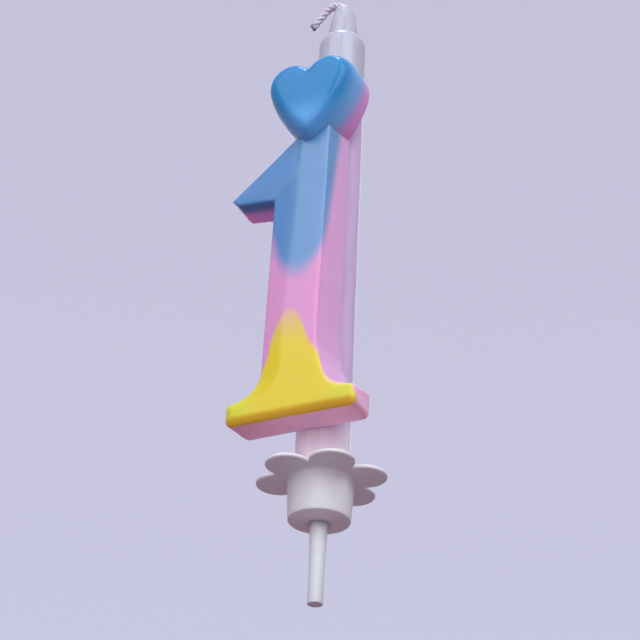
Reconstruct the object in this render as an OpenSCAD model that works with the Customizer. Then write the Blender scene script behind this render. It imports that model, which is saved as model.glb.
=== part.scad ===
// Number birthday candle: a cast wax numeral one with a heart on top, held on the front of a slim
// white taper that stands in a flower-shaped plastic holder with a pick for the cake.
// Millimetres. +Z runs up the taper, the numeral faces -Y, and the origin is on the taper's axis
// at the flat underside of the holder's cup, where it rests on the icing.

/* [Pick] */
// Length of the pick that shows below the cup
pick_len = 12.2; // [9:0.1:20]
// Radius of the pick where it enters the cup
pick_root_r = 1.38; // [1.2:0.01:1.6]
// Radius of the straight lower stretch that goes into the cake
pick_tip_r = 1.15; // [0.9:0.01:1.2]
// Length of the straight lower stretch
pick_straight = 5.4; // [4:0.1:8]
// Length of the peg that is pushed up into the cup's floor
peg_len = 2.3; // [1.5:0.1:2.5]

/* [Flower holder] */
// Radius of the cup's flat underside
cup_foot_r = 3.1; // [2.6:0.05:3.6]
// Radius of the cup's lower edge
cup_edge_r = 4.72; // [4.7:0.01:5]
// Height of the lower edge above the underside
cup_edge_z = 0.75; // [0.4:0.05:1.2]
// Radius of the cup where it meets the petals
cup_top_r = 5.1; // [5:0.01:5.6]
// Height of the petals' underside
petal_z = 7.2; // [6.5:0.1:10]
// Thickness of the petals
petal_t = 0.65; // [0.5:0.05:1.2]
// Number of petals
petal_count = 6; // [5:1:8]
// Radius of one petal
petal_r = 3.44; // [3.2:0.02:4.2]
// Distance from the axis to the centre of a petal
petal_ring_r = 6.76; // [6.2:0.02:7.2]
// Radius of the flower's middle, where the petals part
flower_core_r = 6.3; // [5.4:0.05:6.5]
// Angle of the first petal from +X
petal_turn = 8.5; // [0:0.5:60]
// Thickness of the floor between the pick and the taper
floor_t = 3.0; // [2.8:0.1:3.6]
// Radius of the recess around the pick in the cup's underside
recess_r = 1.75; // [1.6:0.05:2.4]
// Depth of that recess
recess_d = 0.35; // [0.2:0.05:0.8]

/* [Taper] */
// Radius of the taper
taper_r = 4.25; // [4:0.01:4.4]
// Height of the top of the taper's straight side
taper_side_z = 95.4; // [90:0.1:110]
// Height of the rounded shoulder above the straight side
shoulder_h = 2.9; // [1.5:0.1:4]
// Radius at the top of the shoulder
shoulder_r = 3.0; // [2.8:0.05:3.4]
// Radius of the neck of wax around the wick where it leaves the shoulder
neck_r = 2.8; // [2.2:0.05:2.8]
// Radius of the top of that neck
neck_top_r = 1.75; // [1.6:0.05:2.1]
// Length of that neck
neck_len = 7.0; // [3:0.1:8]

/* [Wick] */
// Radius of the wick
wick_r = 0.75; // [0.5:0.05:0.9]
// Radius of the bend in the wick's free end
wick_bend_r = 2.1; // [2:0.1:4]
// Angle that the free end bends through
wick_bend_angle = 140; // [60:5:160]
// Length of the straight end after the bend
wick_end_len = 4.2; // [0.5:0.1:5]

/* [Numeral] */
// How far the numeral's middle lies to the right of the taper's axis
numeral_x = -1.0; // [-1.5:0.1:0]
// How deep the taper is sunk into the numeral's flat back
sink = 0.35; // [0.1:0.05:0.6]
// Depth of the numeral from its back to the edge of its front
slab_t = 5.9; // [5:0.1:8]
// How far the flat middle of the front is raised above that edge
raised_t = 0.6; // [0.3:0.05:1]
// Width of the stem
stem_w = 10.6; // [9:0.1:11]
// Height of the top of the stem, inside the heart
stem_top_z = 72.6; // [71:0.1:74]
// Width of the foot
foot_w = 21.6; // [18:0.1:26]
// Height of the foot's underside
foot_z = 13.6; // [10:0.1:20]
// Height of the foot's ends
foot_h = 4.0; // [2.5:0.1:5]
// Radius of the hollow curve between the foot and the stem
flare_r = 4.9; // [3:0.1:6]
// Distance of the flag's tip to the left of the numeral's middle
flag_reach = 13.6; // [11:0.1:15]
// Height of the flag's tip
flag_z = 57.5; // [56:0.1:58]
// Slope of the flag's upper edge
flag_slope = 41; // [35:1:45]

/* [Heart] */
// How far the heart's middle lies to the right of the taper's axis
heart_x = -0.2; // [-0.6:0.1:0.2]
// Radius of each lobe
lobe_r = 4.8; // [4.6:0.05:5]
// Distance of each lobe's centre from the heart's middle
lobe_x = 3.4; // [3.2:0.05:3.8]
// Height of the lobes' centres
lobe_z = 78.1; // [77.5:0.1:79]
// Radius of the long curve down each side
side_r = 24; // [20:0.5:30]
// Radius of the heart's lower point
point_r = 2.0; // [1.8:0.1:3]
// Height of the heart's lower point
point_z = 65.6; // [65:0.1:66]
// Depth of the heart from its back to its front
heart_t = 9.4; // [8:0.1:9.6]
// Depth of the heart's rounded front
round_d = 4.8; // [2:0.1:5]
// How far the heart draws in over that depth
round_w = 1.7; // [1:0.1:1.7]

/* [Hidden] */
$fn = 64;

peg_gap = 0.05;                  // running gap around the peg
socket_gap = 0.05;               // running gap around the taper's foot
end_gap = 0.1;                   // gap above the peg
wick_foot = 0.6;                 // wax under the wick's lower end
pick_end_chamfer = 0.15;
taper_chamfer = 0.4;
neck_chamfer = 0.5;
holder_top_z = petal_z + petal_t;
neck_z = taper_side_z + shoulder_h;
taper_top_z = neck_z + neck_len;
back_y = -(taper_r - sink);      // plane of the numeral's and the heart's flat back
seam_w = 1.9;                    // width of each bead of wax along the taper
seam_top_z = 79;
cut = 0.01;                      // how far a cutter passes a face that it only has to meet

// Outline of the numeral's front, with x from its own middle and y up the taper
stem_l = -stem_w / 2;
stem_r = stem_w / 2;
foot_l = -foot_w / 2;
foot_r = foot_w / 2;
foot_top_z = foot_z + foot_h;
flare_z = foot_top_z + flare_r;
flag_cut = 1.2;                  // size of the flag's blunt end
flag_drop = 1.1;                 // how far the flag's underside falls towards the stem
flag_end_x = -flag_reach + flag_cut;
flag_end_z = flag_z - flag_cut;
peak_x = -1;                     // where the flag's upper edge steepens, inside the heart
peak_z = flag_z + (peak_x + flag_reach) * tan(flag_slope);

// Widths of the sloping borders around the raised middle
wide_l = 3.8;                    // left of the stem
narrow_r = 1.2;                  // right of the stem
narrow_foot = 1.2;               // around the foot

// Centre of the long curve down the heart's right side, which touches its lobe and its point inside
point_c = point_z + point_r;
side_gap = norm([lobe_x, lobe_z - point_c]);
side_along = ((side_r - lobe_r) ^ 2 - (side_r - point_r) ^ 2 + side_gap ^ 2) / (2 * side_gap);
side_off = sqrt((side_r - lobe_r) ^ 2 - side_along ^ 2);
side_way = unit([-lobe_x, point_c - lobe_z]);
side_c = [lobe_x, lobe_z] + side_along * side_way + side_off * [side_way[1], -side_way[0]];

function unit(v) = v / norm(v);

// Puts a drawing, made in x and z, into a slab that runs from the back plane towards -Y
module slab(from, depth) {
    translate([0, back_y - from, 0])
        rotate([90, 0, 0])
            linear_extrude(depth)
                children();
}

module taper_space(gap = 0) {
    translate([0, 0, floor_t])
        cylinder(r = taper_r + gap, h = taper_side_z - floor_t + cut);
}

// A bar whose top curves up into the stem on both sides
module flared_foot(left, right, low, top, stem_left, stem_right, radius) {
    difference() {
        union() {
            translate([left, low])
                square([right - left, top - low]);
            translate([stem_left - radius, top - cut])
                square([stem_right - stem_left + 2 * radius, radius + cut]);
        }
        for (x = [stem_left - radius, stem_right + radius])
            translate([x, top + radius])
                circle(r = radius);
    }
}

module numeral_outline() {
    flared_foot(foot_l, foot_r, foot_z, foot_top_z, stem_l, stem_r, flare_r);
    polygon([
        [stem_l, flare_z - cut],
        [stem_r, flare_z - cut],
        [stem_r, stem_top_z],
        [peak_x + 2, stem_top_z],
        [peak_x, peak_z],
        [-flag_reach, flag_z],
        [flag_end_x, flag_end_z],
        [stem_l, flag_end_z - flag_drop]
    ]);
}

module raised_outline() {
    flared_foot(foot_l + narrow_foot, foot_r - narrow_foot, foot_z + narrow_foot,
        foot_top_z - narrow_foot, stem_l + wide_l, stem_r - narrow_r, flare_r);
    translate([stem_l + wide_l, foot_top_z - narrow_foot])
        square([stem_w - wide_l - narrow_r, stem_top_z - foot_top_z + narrow_foot]);
}

module numeral_blank() {
    translate([numeral_x, 0, 0]) {
        slab(0, slab_t) numeral_outline();
        slab(slab_t - cut, raised_t + cut) raised_outline();
    }
}

// The heart's outline drawn in from its edge: every arc keeps its centre
module heart_outline(inset) {
    lobe = lobe_r - inset;
    point = point_r - inset;
    long = side_r - inset;
    reach = 1.5;
    polygon([[-lobe_x, lobe_z], [0, point_c], [lobe_x, lobe_z]]);
    translate([0, point_c])
        circle(r = point);
    for (s = [0, 1])
        mirror([s, 0]) {
            translate([lobe_x, lobe_z])
                circle(r = lobe);
            intersection() {
                translate(side_c)
                    circle(r = long, $fn = 240);
                polygon([
                    [0, point_c],
                    [lobe_x, lobe_z],
                    side_c + reach * side_r * unit([lobe_x, lobe_z] - side_c),
                    side_c + reach * side_r * unit([0, point_c] - side_c)
                ]);
            }
        }
}

module heart_blank() {
    steps = 5;
    flat_t = heart_t - round_d;
    translate([heart_x, 0, 0]) {
        slab(0, flat_t) heart_outline(0);
        for (i = [1 : steps]) {
            a0 = 90 * (i - 1) / steps;
            a1 = 90 * i / steps;
            slab(flat_t + round_d * sin(a0) - cut, round_d * (sin(a1) - sin(a0)) + cut)
                heart_outline(round_w * (1 - cos((a0 + a1) / 2)));
        }
    }
}

module pick() {
    color("whitesmoke")
        rotate_extrude()
            polygon([
                [0, -pick_len],
                [pick_tip_r - pick_end_chamfer, -pick_len],
                [pick_tip_r, -pick_len + pick_end_chamfer],
                [pick_tip_r, -pick_len + pick_straight],
                [pick_root_r, 0],
                [pick_root_r, peg_len],
                [0, peg_len]
            ]);
}

module flower_holder() {
    color("snow")
        difference() {
            union() {
                rotate_extrude()
                    polygon([
                        [0, 0],
                        [cup_foot_r, 0],
                        [cup_edge_r, cup_edge_z],
                        [cup_top_r, petal_z + petal_t / 2],
                        [0, petal_z + petal_t / 2]
                    ]);
                translate([0, 0, petal_z])
                    linear_extrude(petal_t) {
                        circle(r = flower_core_r);
                        for (i = [0 : petal_count - 1])
                            rotate(petal_turn + i * 360 / petal_count)
                                translate([petal_ring_r, 0])
                                    circle(r = petal_r);
                    }
            }
            translate([0, 0, floor_t])
                cylinder(r = taper_r + socket_gap, h = holder_top_z);
            translate([0, 0, -1])
                cylinder(r = pick_root_r + peg_gap, h = 1 + peg_len + end_gap);
            translate([0, 0, -1])
                cylinder(r = recess_r, h = 1 + recess_d);
        }
}

module taper() {
    color("ghostwhite")
        difference() {
            rotate_extrude()
                polygon([
                    [0, floor_t],
                    [taper_r - taper_chamfer, floor_t],
                    [taper_r, floor_t + taper_chamfer],
                    [taper_r, taper_side_z],
                    [taper_r - 0.35, taper_side_z + shoulder_h * 0.5],
                    [shoulder_r, neck_z],
                    [neck_r, neck_z],
                    [neck_top_r, taper_top_z - neck_chamfer],
                    [neck_top_r - neck_chamfer, taper_top_z],
                    [0, taper_top_z]
                ]);
            translate([0, 0, floor_t + wick_foot])
                cylinder(r = wick_r, h = taper_top_z);
        }
}

module wick() {
    color("ivory") {
        translate([0, 0, floor_t + wick_foot])
            cylinder(r = wick_r, h = taper_top_z - floor_t - wick_foot);
        translate([-wick_bend_r, 0, taper_top_z])
            rotate([90, 0, 0]) {
                rotate_extrude(angle = wick_bend_angle)
                    translate([wick_bend_r, 0])
                        circle(r = wick_r);
                rotate(wick_bend_angle)
                    translate([wick_bend_r, 0, 0])
                        rotate([-90, 0, 0])
                            cylinder(r = wick_r, h = wick_end_len);
            }
    }
}

module numeral() {
    color("plum")
        difference() {
            numeral_blank();
            taper_space();
        }
}

module heart() {
    color("steelblue")
        difference() {
            heart_blank();
            numeral_blank();
            taper_space();
        }
}

// Two beads of melted wax in the corners between the taper and the flat backs
module wax_seam() {
    bead_x = sqrt(taper_r * taper_r - back_y * back_y);
    color("lavenderblush")
        difference() {
            for (s = [-1, 1])
                translate([0, 0, foot_z])
                    linear_extrude(seam_top_z - foot_z)
                        polygon([
                            [s * (bead_x - 0.2), back_y],
                            [s * (bead_x + seam_w), back_y],
                            [s * (bead_x + seam_w * 0.65), back_y + seam_w * 0.6],
                            [s * (bead_x - 0.2), back_y + seam_w * 0.6]
                        ]);
            taper_space();
        }
}

pick();
flower_holder();
taper();
wick();
numeral();
heart();
wax_seam();
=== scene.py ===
"""Visual model of a number birthday candle: a cast wax one with a heart, on a taper in a flower holder.

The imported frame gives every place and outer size. Each piece is a class that builds its own mesh
around its node's box and dresses it in its own finish. Lengths in the classes' fields are in
millimetres and are turned into metres with MM where a mesh or a material is made.
"""
from __future__ import annotations

import logging
import math
from dataclasses import dataclass
from enum import Enum
from typing import Callable, Sequence, Union

import bmesh
import bpy
from mathutils import Matrix, Vector, noise

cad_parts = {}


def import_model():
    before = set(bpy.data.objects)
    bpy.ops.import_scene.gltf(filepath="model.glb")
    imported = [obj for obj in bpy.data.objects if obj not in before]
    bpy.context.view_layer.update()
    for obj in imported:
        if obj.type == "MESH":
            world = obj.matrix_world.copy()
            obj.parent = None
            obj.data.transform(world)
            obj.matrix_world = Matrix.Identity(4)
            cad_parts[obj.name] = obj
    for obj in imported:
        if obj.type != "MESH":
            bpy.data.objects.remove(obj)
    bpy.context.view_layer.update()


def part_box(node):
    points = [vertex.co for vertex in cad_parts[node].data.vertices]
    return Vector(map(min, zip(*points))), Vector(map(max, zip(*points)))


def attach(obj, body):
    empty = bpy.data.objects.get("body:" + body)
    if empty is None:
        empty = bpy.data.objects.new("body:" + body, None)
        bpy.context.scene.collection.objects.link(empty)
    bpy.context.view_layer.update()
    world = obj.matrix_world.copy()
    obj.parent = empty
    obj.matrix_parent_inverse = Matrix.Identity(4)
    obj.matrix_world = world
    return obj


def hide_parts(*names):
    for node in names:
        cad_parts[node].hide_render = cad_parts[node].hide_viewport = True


MM = 0.001
WELD = 0.0005 * MM
log = logging.getLogger("number_candle")

Point = tuple[float, float]
Colour = tuple[float, float, float]
Socket = bpy.types.NodeSocket
Feed = Union[Socket, float]
Edges = list[bmesh.types.BMEdge]
Radius = Callable[[float], float]


class Body(Enum):
    """The bodies of the frame that pieces ride on."""

    PICK = "pick"
    HOLDER = "holder"
    CANDLE = "candle"


# ---------------------------------------------------------------------------------------------
# Shader writing
# ---------------------------------------------------------------------------------------------


def srgb(red: float, green: float, blue: float) -> Colour:
    """Turns a colour given in 0 to 255 screen values into linear light."""

    def linear(value: float) -> float:
        """Turns one channel into linear light."""
        part = value / 255
        return part / 12.92 if part <= 0.04045 else ((part + 0.055) / 1.055) ** 2.4

    return linear(red), linear(green), linear(blue)


@dataclass(frozen=True)
class Dent:
    """One layer of fine relief: the size of its patches and its depth, in millimetres."""

    grain: float
    detail: float
    depth: float
    stretch: Colour = (1.0, 1.0, 1.0)


class ShaderSheet:
    """Writes the node tree of one material around a single Principled shader."""

    def __init__(self, name: str) -> None:
        """Starts an empty sheet with its shader wired to the output.

        Args:
            name: The material's name.
        """
        self.material = bpy.data.materials.new(name)
        self.material.use_nodes = True
        self.tree = self.material.node_tree
        self.tree.nodes.clear()
        output = self.tree.nodes.new("ShaderNodeOutputMaterial")
        self.shader = self.tree.nodes.new("ShaderNodeBsdfPrincipled")
        self.tree.links.new(self.shader.outputs["BSDF"], output.inputs["Surface"])

    def place(self) -> Socket:
        """Returns the place on the piece, in metres in the row frame."""
        return self.tree.nodes.new("ShaderNodeTexCoord").outputs["Object"]

    def axes(self) -> tuple[Socket, Socket, Socket]:
        """Returns the place's x, y and z."""
        split = self.tree.nodes.new("ShaderNodeSeparateXYZ")
        self.tree.links.new(self.place(), split.inputs[0])
        return split.outputs[0], split.outputs[1], split.outputs[2]

    def feed(self, socket: Socket, value: Feed | Colour) -> None:
        """Links a socket to another, or sets its value.

        Args:
            socket: The input to feed.
            value: Another node's output, a number, or a colour.
        """
        if isinstance(value, bpy.types.NodeSocket):
            self.tree.links.new(value, socket)
        elif isinstance(value, tuple):
            socket.default_value = (*value, 1.0)
        else:
            socket.default_value = value

    def math(self, operation: str, first: Feed, *others: Feed) -> Socket:
        """Works out an arithmetic step, once more for each further number.

        Args:
            operation: The Math node's operation.
            first: Its first number.
            others: The numbers that follow it, taken from the left.

        Returns:
            The last step's result.
        """
        for second in others or (0.0,):
            node = self.tree.nodes.new("ShaderNodeMath")
            node.operation = operation
            self.feed(node.inputs[0], first)
            self.feed(node.inputs[1], second)
            first = node.outputs[0]
        return first

    def rest(self, share: Socket) -> Socket:
        """Returns what a share leaves of 1."""
        return self.math("SUBTRACT", 1.0, share)

    def span(self, place: Socket, ends: Point) -> Socket:
        """Returns a smooth rise from 0 to 1 between two places in millimetres."""
        return self.ease(place, ends[0] * MM, ends[1] * MM)

    def ease(self, value: Feed, low: float, high: float) -> Socket:
        """Rises smoothly from 0 to 1.

        Args:
            value: The number to follow.
            low: Where the rise starts.
            high: Where the rise ends.

        Returns:
            0 below low, 1 above high and a smooth step between them.
        """
        node = self.tree.nodes.new("ShaderNodeMapRange")
        node.interpolation_type = "SMOOTHSTEP"
        for key, number in (("From Min", low), ("From Max", high)):
            node.inputs[key].default_value = number
        self.feed(node.inputs["Value"], value)
        return node.outputs["Result"]

    def graph(self, value: Socket, points: Sequence[Point]) -> Socket:
        """Draws a smooth curve over a length.

        Args:
            value: Where along it to read, in metres.
            points: Places and heights in millimetres, from the lowest place up.

        Returns:
            The curve's height there, in metres.
        """
        low, span = points[0][0], points[-1][0] - points[0][0]
        heights = [height for _, height in points]
        base, rise = min(heights), max(heights) - min(heights)
        node = self.tree.nodes.new("ShaderNodeFloatCurve")
        node.mapping.extend = "HORIZONTAL"
        curve = node.mapping.curves[0]
        for end, index in ((0, 0), (1, -1)):
            curve.points[index].location = (end, (heights[index] - base) / rise)
        for place, height in points[1:-1]:
            curve.points.new((place - low) / span, (height - base) / rise)
        node.mapping.update()
        share = self.math("DIVIDE", self.math("SUBTRACT", value, low * MM), span * MM)
        self.feed(node.inputs["Value"], share)
        return self.math("ADD", self.math("MULTIPLY", node.outputs["Value"], rise * MM), base * MM)

    def cloud(self, grain: float, detail: float = 2.0, stretch: Colour = (1.0, 1.0, 1.0)) -> Socket:
        """Makes soft noise.

        Args:
            grain: The size of its patches in millimetres.
            detail: How many finer layers it has.
            stretch: How much finer it is along each axis.

        Returns:
            The noise, between 0 and 1.
        """
        scale = self.tree.nodes.new("ShaderNodeMapping")
        scale.inputs["Scale"].default_value = stretch
        self.tree.links.new(self.place(), scale.inputs["Vector"])
        node = self.tree.nodes.new("ShaderNodeTexNoise")
        node.inputs["Scale"].default_value = 1 / (grain * MM)
        node.inputs["Detail"].default_value = detail
        self.tree.links.new(scale.outputs[0], node.inputs["Vector"])
        return node.outputs["Fac"]

    def sway(self, grain: float, reach: float) -> Socket:
        """Returns noise centred on 0, in metres, from a grain and a full width in millimetres."""
        return self.math("MULTIPLY", self.math("SUBTRACT", self.cloud(grain), 0.5), reach * MM)

    def blend(self, amount: Feed, first: Socket | Colour, second: Socket | Colour) -> Socket:
        """Lays one colour over another.

        Args:
            amount: 0 for the first, 1 for the second.
            first: The colour under the other.
            second: The colour over it.

        Returns:
            The mixed colour.
        """
        node = self.tree.nodes.new("ShaderNodeMix")
        node.data_type = "RGBA"
        self.feed(node.inputs[0], amount)
        self.feed(node.inputs[6], first)
        self.feed(node.inputs[7], second)
        return node.outputs[2]

    def shade(self, colour: Socket | Colour, grain: float, depth: float) -> Socket:
        """Makes a colour lighter and darker in soft patches.

        Args:
            colour: The colour to vary.
            grain: The size of the patches in millimetres.
            depth: How far it varies, as a share of the colour.

        Returns:
            The varied colour.
        """
        node = self.tree.nodes.new("ShaderNodeHueSaturation")
        value = self.math("ADD", self.math("MULTIPLY", self.cloud(grain, 4.0), depth), 1 - depth / 2)
        self.feed(node.inputs["Value"], value)
        self.feed(node.inputs["Color"], colour)
        return node.outputs["Color"]

    def paint(self, colour: Socket | Colour, mottle: Point) -> bpy.types.Material:
        """Finishes the sheet with a colour, mottled by a grain in millimetres and a depth."""
        self.feed(self.shader.inputs["Base Color"], self.shade(colour, *mottle))
        return self.material

    def roughen(self, base: float, grain: float, depth: float) -> None:
        """Varies the roughness in soft patches around a base value."""
        patches = self.math("MULTIPLY", self.math("SUBTRACT", self.cloud(grain, 3.0), 0.5), depth)
        self.feed(self.shader.inputs["Roughness"], self.math("ADD", patches, base))

    def dent(self, *layers: Dent) -> None:
        """Adds fine relief to the surface.

        Args:
            layers: The layers of relief, each laid over the one before.
        """
        normal: Socket | None = None
        for layer in layers:
            node = self.tree.nodes.new("ShaderNodeBump")
            node.inputs["Distance"].default_value = layer.depth * MM
            height = self.cloud(layer.grain, layer.detail, layer.stretch)
            self.tree.links.new(height, node.inputs["Height"])
            if normal is not None:
                self.tree.links.new(normal, node.inputs["Normal"])
            normal = node.outputs["Normal"]
        if normal is not None:
            self.tree.links.new(normal, self.shader.inputs["Normal"])


@dataclass(frozen=True)
class Wax:
    """How paraffin takes light, whatever its colour."""

    glow: float = 0.55
    reach: Colour = (4.0, 1.8, 1.9)
    roughness: float = 0.36
    index: float = 1.44
    coat: float = 0.3
    coat_roughness: float = 0.16
    wear_grain: float = 2.5
    wear: float = 0.14
    relief: tuple[Dent, ...] = (Dent(5.0, 2.0, 0.05), Dent(0.35, 3.0, 0.006))

    def sheet(self, name: str) -> ShaderSheet:
        """Starts a material with the body of wax and its fine, hand-worn surface.

        Args:
            name: The material's name.

        Returns:
            The sheet, still without a colour.
        """
        sheet = ShaderSheet(name)
        inputs = sheet.shader.inputs
        inputs["Subsurface Weight"].default_value = self.glow
        inputs["Subsurface Radius"].default_value = self.reach
        inputs["Subsurface Scale"].default_value = MM
        inputs["IOR"].default_value = self.index
        inputs["Coat Weight"].default_value = self.coat
        inputs["Coat Roughness"].default_value = self.coat_roughness
        sheet.roughen(self.roughness, self.wear_grain, self.wear)
        sheet.dent(*self.relief)
        return sheet


@dataclass(frozen=True)
class Pour:
    """The pastel colours of the poured castings, with paler and darker copies that are painted light and
    shade.
    """

    pink: Colour = srgb(221, 156, 205)
    # painted light: a paler pink for the foot's underside
    foot_painted_light: Colour = srgb(250, 196, 222)
    blue: Colour = srgb(105, 158, 206)
    # painted shade: a darker blue for the flag and the stem's left facet
    flag_painted_shade: Colour = srgb(82, 142, 199)
    violet: Colour = srgb(230, 176, 244)
    # painted light: a paler pink for the right wall
    wall_painted_light: Colour = srgb(228, 186, 230)
    heart_blue: Colour = srgb(12, 136, 197)
    # painted light: paler blues for the heart's lower front and its sides
    heart_low_painted_light: Colour = srgb(88, 172, 232)
    heart_side_painted_light: Colour = srgb(122, 184, 236)
    heart_back: Colour = srgb(222, 158, 222)
    yellow: Colour = srgb(228, 212, 22)
    lime: Colour = srgb(208, 216, 30)
    # thin yellow over pink, darkened with painted shade, for the foot's lower bevel
    thin_orange_and_shade: Colour = srgb(222, 186, 48)


@dataclass(frozen=True)
class NumeralFinish:
    """Pink wax whose front was poured blue at the top and yellow at the foot."""

    wax: Wax = Wax()
    pour: Pour = Pour()
    mottle: Point = (3.5, 0.07)
    # height of the blue's lower border across the front, and how far it climbs towards the back
    blue_edge: tuple[Point, ...] = (
        (-9, 34), (-7.4, 37), (-6.3, 43.8), (-5.2, 42.4), (-3.9, 40.4), (-2.3, 39.6), (-0.9, 39.3),
        (0.5, 39.7), (1.8, 41.1), (3.1, 43.2))
    blue_climb: tuple[Point, ...] = (
        (-10.4, 0), (-8.9, 7), (-8.1, 14.6), (-7.2, 21.7), (-6.6, 27), (-5, 42))
    blue_soft: float = 2.5
    blue_soft_side: float = 6.5
    blue_side_y: Point = (-10.3, -9.0)
    blue_sway: Point = (5.0, 1.2)
    # painted shade: where the darker blue of the flag and the stem's left facet gives way to the stem's
    flag_x: Point = (-4.5, -1.0)
    # height of the yellow's upper border across the front
    yellow_edge: tuple[Point, ...] = (
        (-11.8, 21.5), (-6.3, 22.6), (-5.3, 24), (-4.8, 27.2), (-3.9, 29.8), (-1.7, 32.3),
        (-0.3, 31), (1.9, 25.8), (3.2, 24), (5.2, 18.7), (7, 17.7), (9.8, 17.4))
    yellow_soft: Point = (-0.9, 1.1)
    yellow_sway: Point = (3.0, 0.9)
    # it thins out towards its peak
    thin_z: Point = (25, 34)
    thin: float = 0.5
    # how far back it laps, softly, and where the ridge on the right stops it sooner
    yellow_y: float = -9.6
    yellow_side_y: float = -10.15
    lap_soft: Point = (-0.15, 0.2)
    lap_sway: Point = (2.0, 0.25)
    ridge_x: Point = (2.2, 3.4)
    ridge_z: Point = (15, 16)
    # limier towards the foot's ends; on its lower bevel orange, where the yellow lies thin over pink,
    # with painted shade
    middle_x: float = -1.0
    lime_x: Point = (4.5, 9.5)
    bevel_z: Point = (14.3, 15.3)
    # painted light: paler pink at the foot and on the right wall; violet under the flag
    foot_painted_light_z: Point = (15, 20)
    wall_x: Point = (2, 3.2)
    wall_y: Point = (-10.3, -9.3)
    wall_z: Point = (17, 22)
    wall: float = 0.6
    under_x: Point = (-6.0, -7.0)
    under_z: Point = (50, 54)

    def blue(self, sheet: ShaderSheet) -> Socket:
        """Covers the top with the blue pour.

        Args:
            sheet: The numeral's sheet.

        Returns:
            How much of the pour covers a place.
        """
        x, y, z = sheet.axes()
        edge = sheet.math("ADD", sheet.graph(x, self.blue_edge), sheet.graph(y, self.blue_climb))
        above = sheet.math("SUBTRACT", sheet.math("ADD", z, sheet.sway(*self.blue_sway)), edge)
        spread = sheet.math("MULTIPLY", sheet.span(y, self.blue_side_y), self.blue_soft_side * MM)
        soft = sheet.math("ADD", spread, self.blue_soft * MM)
        return sheet.ease(sheet.math("DIVIDE", above, soft), -1.0, 1.0)

    def yellow(self, sheet: ShaderSheet) -> Socket:
        """Covers the foot with the yellow pour.

        Args:
            sheet: The numeral's sheet.

        Returns:
            How much of the pour covers a place.
        """
        x, y, z = sheet.axes()
        below = sheet.math("SUBTRACT", sheet.graph(x, self.yellow_edge), z)
        cover = sheet.span(sheet.math("ADD", below, sheet.sway(*self.yellow_sway)), self.yellow_soft)
        body = sheet.rest(sheet.math("MULTIPLY", sheet.span(z, self.thin_z), self.thin))
        side = sheet.math("MULTIPLY", sheet.span(x, self.ridge_x), sheet.span(z, self.ridge_z))
        lap = sheet.math("MULTIPLY", side, (self.yellow_y - self.yellow_side_y) * MM)
        depth = sheet.math("ADD", y, lap, sheet.sway(*self.lap_sway))
        before, after = self.lap_soft
        front = sheet.rest(sheet.span(depth, (self.yellow_y + before, self.yellow_y + after)))
        return sheet.math("MULTIPLY", cover, body, front)

    def gold(self, sheet: ShaderSheet) -> Socket:
        """Mixes the yellow itself.

        Args:
            sheet: The numeral's sheet.

        Returns:
            Its colour.
        """
        x, _, z = sheet.axes()
        aside = sheet.math("ABSOLUTE", sheet.math("SUBTRACT", x, self.middle_x * MM))
        gold = sheet.blend(sheet.span(aside, self.lime_x), self.pour.yellow, self.pour.lime)
        # the lower bevel: thin yellow over pink, with painted shade
        return sheet.blend(sheet.span(z, self.bevel_z), self.pour.thin_orange_and_shade, gold)

    def material(self) -> bpy.types.Material:
        """Returns the numeral's material."""
        sheet = self.wax.sheet("numeral_wax")
        x, y, z = sheet.axes()
        # painted light: the foot's underside paler pink
        pink = sheet.blend(sheet.span(z, self.foot_painted_light_z), self.pour.foot_painted_light, self.pour.pink)
        # painted light: the right wall paler pink
        wall = sheet.math("MULTIPLY", sheet.span(x, self.wall_x), sheet.span(y, self.wall_y),
                          sheet.span(z, self.wall_z), self.wall)
        pink = sheet.blend(wall, pink, self.pour.wall_painted_light)
        under = sheet.math("MULTIPLY", sheet.span(x, self.under_x), sheet.span(z, self.under_z))
        pink = sheet.blend(under, pink, self.pour.violet)
        # painted shade: the flag and the stem's left facet darker blue
        blue = sheet.blend(sheet.span(x, self.flag_x), self.pour.flag_painted_shade, self.pour.blue)
        colour = sheet.blend(self.blue(sheet), pink, blue)
        colour = sheet.blend(self.yellow(sheet), colour, self.gold(sheet))
        return sheet.paint(colour, self.mottle)


@dataclass(frozen=True)
class HeartFinish:
    """Blue wax in front that meets pink wax behind in a soft line."""

    wax: Wax = Wax()
    pour: Pour = Pour()
    meet_y: float = -7.3
    lean: float = 0.13
    middle_z: float = 75.0
    soft: float = 1.7
    gloss: float = 0.25
    sway: Point = (4.0, 1.0)
    mottle: Point = (4.0, 0.06)
    # painted light: where the front's paler lower part ends, and where its sides turn paler
    high_z: Point = (67, 74)
    side_y: Point = (-13.0, -9.0)

    def material(self) -> bpy.types.Material:
        """Returns the heart's material."""
        sheet = self.wax.sheet("heart_wax")
        sheet.shader.inputs["Specular IOR Level"].default_value = self.gloss
        _, y, z = sheet.axes()
        up = sheet.math("MULTIPLY", sheet.math("SUBTRACT", z, self.middle_z * MM), self.lean)
        depth = sheet.math("SUBTRACT", sheet.math("ADD", y, sheet.sway(*self.sway)), up)
        behind = sheet.span(depth, (self.meet_y - self.soft, self.meet_y + self.soft))
        # painted light: paler blue on the lower front and on the sides
        blue = sheet.blend(sheet.span(z, self.high_z), self.pour.heart_low_painted_light, self.pour.heart_blue)
        blue = sheet.blend(sheet.span(y, self.side_y), blue, self.pour.heart_side_painted_light)
        return sheet.paint(sheet.blend(behind, blue, self.pour.heart_back), self.mottle)


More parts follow.
